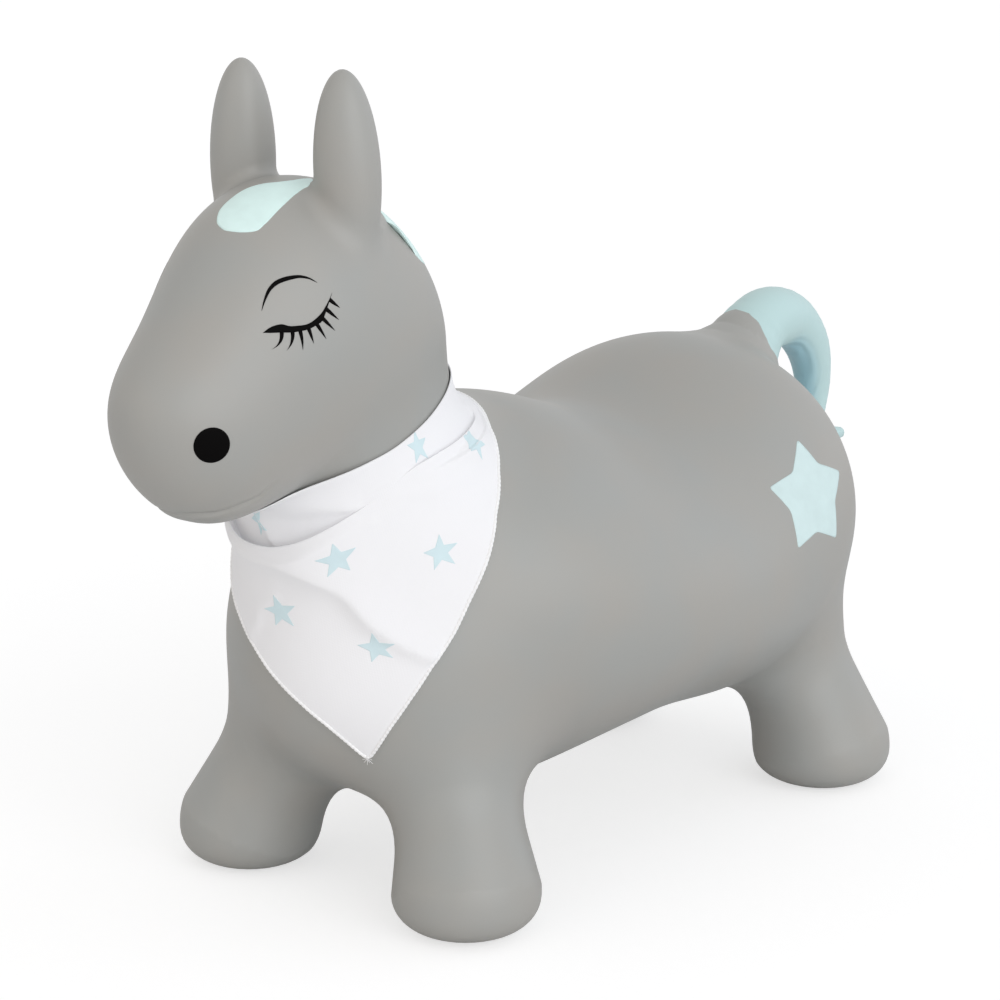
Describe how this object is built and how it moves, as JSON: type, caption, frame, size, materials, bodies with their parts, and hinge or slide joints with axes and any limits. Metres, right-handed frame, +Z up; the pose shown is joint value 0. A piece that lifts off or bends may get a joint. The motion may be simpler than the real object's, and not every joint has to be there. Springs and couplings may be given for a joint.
{
  "type": "inflatable ride-on animal",
  "caption": "Air-filled bouncing donkey that a small child sits on and holds by the ears, with a curled tail and a cotton bandana round its neck.",
  "frame": {"origin": "on the floor, under the middle of the length and width", "axes": "+X to the animal's left, +Y from the nose to the tail, +Z up"},
  "size_m": [0.2871, 0.6623, 0.4895],
  "materials": {
    "grey_vinyl": "matte soft vinyl",
    "mint_vinyl": "matte printed vinyl",
    "black_print": "matte ink",
    "white_cotton": "plain woven cotton",
    "white_plug": "matte"
  },
  "bodies": {
    "animal": {"trunk_skin": "grey_vinyl", "head_skin": "grey_vinyl", "ear_root_left": "grey_vinyl", "ear_root_right": "grey_vinyl", "leg_front_left": "grey_vinyl", "leg_front_right": "grey_vinyl", "leg_rear_left": "grey_vinyl", "leg_rear_right": "grey_vinyl", "tail_root": "mint_vinyl", "valve_seat": "white_plug", "bandana_front": "white_cotton", "bandana_collar": "white_cotton", "bandana_tab": "white_cotton", "forelock_print": "mint_vinyl", "mane_print": "mint_vinyl", "hip_star_left": "mint_vinyl", "hip_star_right": "mint_vinyl", "brow_left": "black_print", "eyelashes_left": "black_print", "nostril_left": "black_print", "brow_right": "black_print", "eyelashes_right": "black_print", "nostril_right": "black_print"},
    "left_front_foot": {"foot_front_left": "grey_vinyl"},
    "right_front_foot": {"foot_front_right": "grey_vinyl"},
    "left_rear_foot": {"foot_rear_left": "grey_vinyl"},
    "right_rear_foot": {"foot_rear_right": "grey_vinyl"},
    "left_ear": {"ear_left": "grey_vinyl"},
    "right_ear": {"ear_right": "grey_vinyl"},
    "tail_curl": {"tail": "mint_vinyl"},
    "plug": {"valve_plug": "white_plug"}
  },
  "joints": [
    {"name": "front_left_foot_squash", "type": "slide", "parent": "animal", "child": "left_front_foot", "axis": [0, 0, 1], "range_m": [0, 0.018], "stiffness_N_per_m": 2000, "springref_m": -0.004, "deforming": ["leg_front_left"]},
    {"name": "front_right_foot_squash", "type": "slide", "parent": "animal", "child": "right_front_foot", "axis": [0, 0, 1], "range_m": [0, 0.018], "stiffness_N_per_m": 2000, "springref_m": -0.004, "deforming": ["leg_front_right"]},
    {"name": "rear_left_foot_squash", "type": "slide", "parent": "animal", "child": "left_rear_foot", "axis": [0, 0, 1], "range_m": [0, 0.018], "stiffness_N_per_m": 2000, "springref_m": -0.004, "deforming": ["leg_rear_left"]},
    {"name": "rear_right_foot_squash", "type": "slide", "parent": "animal", "child": "right_rear_foot", "axis": [0, 0, 1], "range_m": [0, 0.018], "stiffness_N_per_m": 2000, "springref_m": -0.004, "deforming": ["leg_rear_right"]},
    {"name": "left_ear_bend", "type": "hinge", "parent": "animal", "child": "left_ear", "pos_m": [0.0395, -0.2035, 0.4395], "axis": [1, 0, 0], "range_deg": [-25, 25], "stiffness_Nm_per_rad": 0.3, "deforming": ["ear_root_left"]},
    {"name": "right_ear_bend", "type": "hinge", "parent": "animal", "child": "right_ear", "pos_m": [-0.0395, -0.2035, 0.4395], "axis": [1, 0, 0], "range_deg": [-25, 25], "stiffness_Nm_per_rad": 0.3, "deforming": ["ear_root_right"]},
    {"name": "tail_bend", "type": "hinge", "parent": "animal", "child": "tail_curl", "pos_m": [0, 0.2273, 0.2751], "axis": [1, 0, 0], "range_deg": [-12, 12], "stiffness_Nm_per_rad": 1.2, "deforming": ["tail_root"]},
    {"name": "valve_plug_pull", "type": "slide", "parent": "animal", "child": "plug", "axis": [0, 0, -1], "range_m": [0, 0.025]}
  ]
}
